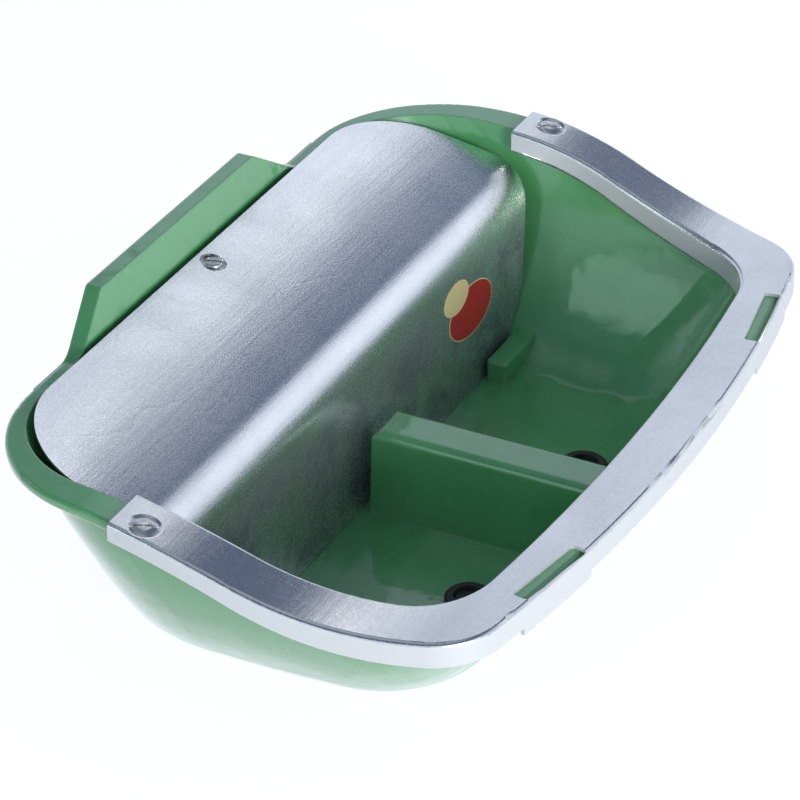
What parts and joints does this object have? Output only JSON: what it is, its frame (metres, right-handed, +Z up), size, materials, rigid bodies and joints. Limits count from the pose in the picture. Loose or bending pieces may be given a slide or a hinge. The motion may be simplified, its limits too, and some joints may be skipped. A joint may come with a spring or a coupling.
{
  "type": "livestock drinking bowl",
  "caption": "Wall-mounted cast livestock drinking bowl with divided drinking compartments, steel splash guard, lift-off cover, float valve and drain plugs.",
  "frame": {"origin": "midway between the two wall bolt holes, on the wall face of the casting", "axes": "+Z up, -Y away from the wall towards the animal, X along the wall with +X on the water inlet's side"},
  "size_m": [0.477, 0.2955, 0.141],
  "materials": {
    "green_enamel": "glossy green vitreous enamel",
    "galvanised_steel": "galvanised, satin with light scratches",
    "bright_steel": "bright zinc plate",
    "black_rubber": "matt",
    "brass": "plain cast and turned brass",
    "white_plastic": "matt",
    "red_plastic": "matt moulded float"
  },
  "bodies": {
    "bowl": {"bowl_casting": "green_enamel", "splash_guard": "galvanised_steel", "guard_screws": "bright_steel", "guard_nuts": "bright_steel", "valve_body": "brass", "valve_nozzle": "white_plastic", "valve_cap": "brass", "cap_seal": "black_rubber", "inlet_gasket": "black_rubber", "inlet_back_nut": "brass", "lever_pivot_pin": "bright_steel"},
    "cover": {"cover": "galvanised_steel", "cover_screw": "bright_steel"},
    "float_lever": {"float_arm": "brass", "float_body": "red_plastic", "float_nuts": "brass"},
    "piston": {"valve_piston": "brass", "piston_washer": "black_rubber"},
    "left_plug": {"drain_plug_left": "black_rubber"},
    "right_plug": {"drain_plug_right": "black_rubber"}
  },
  "joints": [
    {"name": "cover_lift", "type": "slide", "parent": "bowl", "child": "cover", "axis": [0, 0, 1], "range_m": [0, 0.15]},
    {"name": "float_swing", "type": "hinge", "parent": "bowl", "child": "float_lever", "pos_m": [0.15543, -0.084, -0.02443], "axis": [0, 1, 0], "range_deg": [0, 10]},
    {"name": "piston_slide", "type": "slide", "parent": "bowl", "child": "piston", "axis": [1, 0, 0], "range_m": [0, 0.00306]},
    {"name": "left_plug_pull", "type": "slide", "parent": "bowl", "child": "left_plug", "axis": [0, 0, 1], "range_m": [0, 0.03]},
    {"name": "right_plug_pull", "type": "slide", "parent": "bowl", "child": "right_plug", "axis": [0, 0, 1], "range_m": [0, 0.03]}
  ],
  "couplings": [
    {"joint": "piston_slide", "follows": "float_swing", "m_per_rad": 0.017478}
  ]
}
